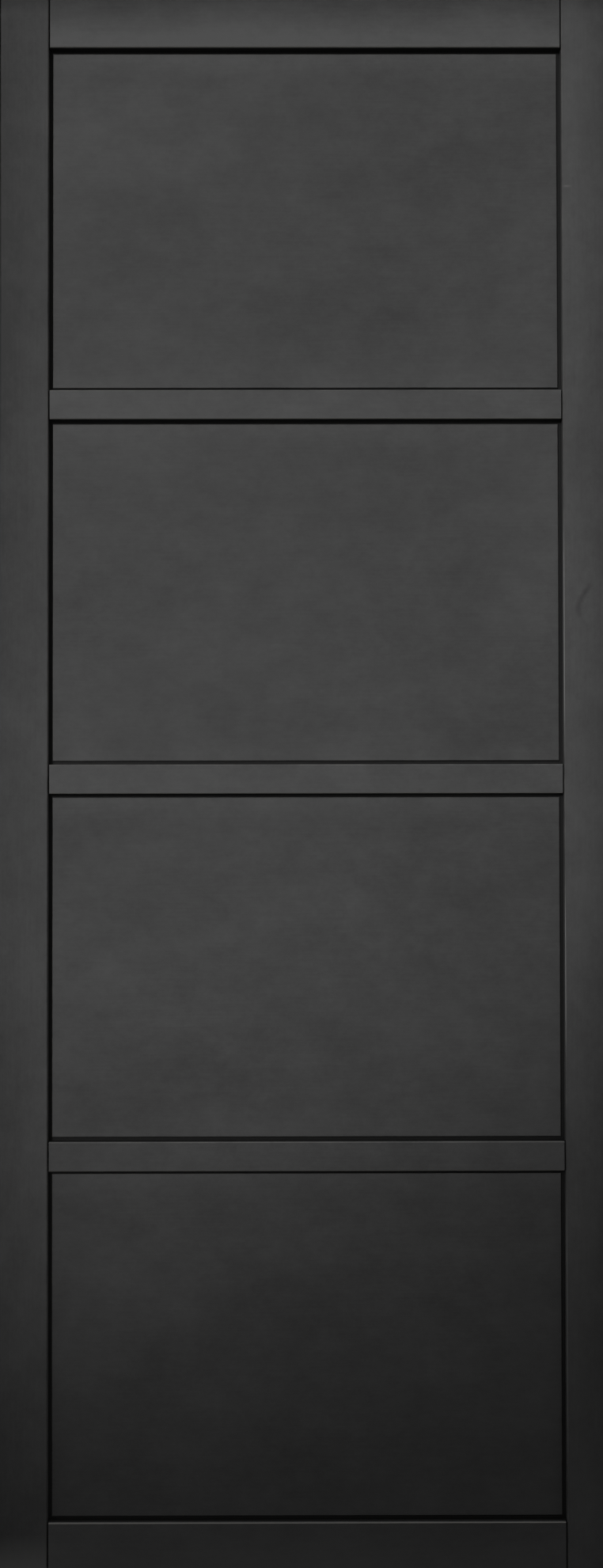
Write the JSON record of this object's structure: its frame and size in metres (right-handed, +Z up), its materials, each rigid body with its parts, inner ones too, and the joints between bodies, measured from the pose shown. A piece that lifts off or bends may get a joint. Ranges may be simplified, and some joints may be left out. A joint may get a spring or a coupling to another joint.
{
  "type": "panelled interior door",
  "caption": "Tall satin black interior door leaf with flat recessed panels between slim stiles and rails, hung on butt hinges in its own plain door lining.",
  "frame": {"origin": "on the floor, at the middle of the doorway's width and of the lining's depth", "axes": "+Z up; -Y is the face shown in the picture, the side that the leaf opens towards; +X is to the right seen from there, where the hinges are"},
  "size_m": [0.824, 0.1415, 2.018],
  "materials": {
    "leaf_paint": "satin black paint on softwood",
    "panel_paint": "satin black paint on fibreboard",
    "lining_paint": "satin black paint on softwood",
    "beech": "bare planed beech",
    "hinge_steel": "satin stainless",
    "screw_steel": "bright steel"
  },
  "bodies": {
    "frame": {"lock_jamb": "lining_paint", "hinge_jamb": "lining_paint", "head": "lining_paint", "lock_stop": "lining_paint", "hinge_stop": "lining_paint", "head_stop": "lining_paint", "stop_brads": "screw_steel", "head_brads": "screw_steel", "lower_hinge_jamb_plate": "hinge_steel", "upper_hinge_jamb_plate": "hinge_steel", "lower_hinge_pin": "hinge_steel", "upper_hinge_pin": "hinge_steel", "jamb_hinge_screws": "screw_steel"},
    "leaf": {"lock_stile": "leaf_paint", "hinge_stile": "leaf_paint", "bottom_rail": "leaf_paint", "cross_rail_3": "leaf_paint", "cross_rail_2": "leaf_paint", "cross_rail_1": "leaf_paint", "top_rail": "leaf_paint", "panel_1": "panel_paint", "panel_2": "panel_paint", "panel_3": "panel_paint", "panel_4": "panel_paint", "bottom_rail_tenons": "beech", "cross_rail_3_tenons": "beech", "cross_rail_2_tenons": "beech", "cross_rail_1_tenons": "beech", "top_rail_tenons": "beech", "lower_hinge_leaf_plate": "hinge_steel", "upper_hinge_leaf_plate": "hinge_steel", "leaf_hinge_screws": "screw_steel"}
  },
  "joints": [
    {"name": "door_swing", "type": "hinge", "parent": "frame", "child": "leaf", "pos_m": [0.3825, -0.071, 0.9965], "axis": [0, 0, 1], "range_deg": [0, 180]}
  ]
}
